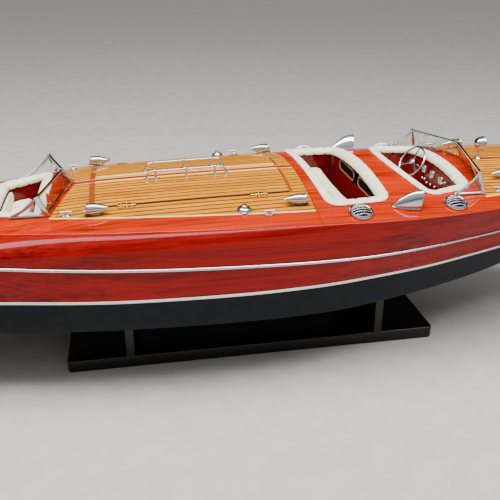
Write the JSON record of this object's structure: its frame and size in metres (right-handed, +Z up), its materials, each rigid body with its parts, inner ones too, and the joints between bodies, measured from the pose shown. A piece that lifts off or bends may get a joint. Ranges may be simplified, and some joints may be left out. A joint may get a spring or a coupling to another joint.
{
  "type": "model speedboat on a stand",
  "caption": "Display model of a classic mahogany runabout with open cockpits, raked windshields and a hinged engine hatch, held in the cradles of a flat wooden stand.",
  "frame": {"origin": "centre of the whole model's bounding box, on the table that the stand rests on", "axes": "+X towards the bow, +Y towards the port side, +Z up"},
  "size_m": [0.8997, 0.2418, 0.2085],
  "materials": {
    "topsides_mahogany": "gloss varnish",
    "deck_mahogany": "gloss varnish",
    "deck_planks": "gloss varnish",
    "bottom_paint": "satin paint",
    "cream_vinyl": "padded, semi-matt",
    "lining_lacquer": "gloss lacquer",
    "stand_lacquer": "gloss lacquer",
    "chrome": "polished",
    "brass": "polished",
    "windshield_glass": "clear"
  },
  "bodies": {
    "boat": {"base_board": "stand_lacquer", "bullet_vent_aft_port": "chrome", "bullet_vent_aft_starboard": "chrome", "bullet_vent_fore_port": "chrome", "bullet_vent_fore_starboard": "chrome", "bullet_vent_middle_port": "chrome", "bullet_vent_middle_starboard": "chrome", "clam_vent_port": "chrome", "clam_vent_starboard": "chrome", "cleat_aft_port": "chrome", "cleat_aft_starboard": "chrome", "cleat_fore_port": "chrome", "cleat_fore_starboard": "chrome", "cleat_middle_port": "chrome", "cleat_middle_starboard": "chrome", "covering_boards": "deck_mahogany", "cradle_aft": "stand_lacquer", "cradle_fore": "stand_lacquer", "dashboard": "lining_lacquer", "deck_aft": "deck_planks", "deck_cockpits": "deck_mahogany", "deck_engine": "deck_planks", "deck_fore": "deck_planks", "filler_cap_port": "chrome", "filler_cap_starboard": "chrome", "hinge_port_aft": "brass", "hinge_port_fore": "brass", "hinge_starboard_aft": "brass", "hinge_starboard_fore": "brass", "hull_bottom": "bottom_paint", "lining_front": "lining_lacquer", "lining_middle": "lining_lacquer", "lining_rear": "lining_lacquer", "louvre_vent_aft_port": "chrome", "louvre_vent_aft_starboard": "chrome", "louvre_vent_fore_port": "chrome", "louvre_vent_fore_starboard": "chrome", "propeller_shaft": "brass", "rim_front": "cream_vinyl", "rim_middle": "cream_vinyl", "rim_rear": "cream_vinyl", "rub_strip": "chrome", "searchlight": "chrome", "seat_front": "cream_vinyl", "seat_middle": "cream_vinyl", "seat_rear": "cream_vinyl", "topsides": "topsides_mahogany", "windshield_frame_front": "chrome", "windshield_frame_rear": "chrome", "windshield_glass_front_port": "windshield_glass", "windshield_glass_front_starboard": "windshield_glass", "windshield_glass_rear_port": "windshield_glass", "windshield_glass_rear_starboard": "windshield_glass"},
    "hatch_port": {"hatch_port": "deck_planks", "handrail_port": "chrome"},
    "hatch_starboard": {"hatch_starboard": "deck_planks", "handrail_starboard": "chrome"},
    "steering_wheel": {"steering_wheel": "chrome"},
    "propeller": {"propeller": "brass"},
    "rudder": {"rudder": "brass"}
  },
  "joints": [
    {"name": "hatch_port_hinge", "type": "hinge", "parent": "boat", "child": "hatch_port", "pos_m": [-0.1096, 0.0659, 0.18099], "axis": [-0.9997, 0, -0.0234], "range_deg": [0, 80]},
    {"name": "hatch_starboard_hinge", "type": "hinge", "parent": "boat", "child": "hatch_starboard", "pos_m": [-0.1096, -0.0659, 0.18099], "axis": [0.9997, 0, 0.0234], "range_deg": [0, 80]},
    {"name": "steering_wheel_turn", "type": "hinge", "parent": "boat", "child": "steering_wheel", "pos_m": [0.14, 0.0237, 0.1775], "axis": [-0.8026, -0.2006, 0.5618], "range_deg": [-270, 270]},
    {"name": "propeller_spin", "type": "hinge", "parent": "boat", "child": "propeller", "pos_m": [-0.372, 0, 0.0325], "axis": [-0.9973, 0, -0.0736], "continuous": true},
    {"name": "rudder_turn", "type": "hinge", "parent": "boat", "child": "rudder", "pos_m": [-0.412, 0, 0.036], "axis": [0, 0, 1], "range_deg": [-35, 35]}
  ]
}
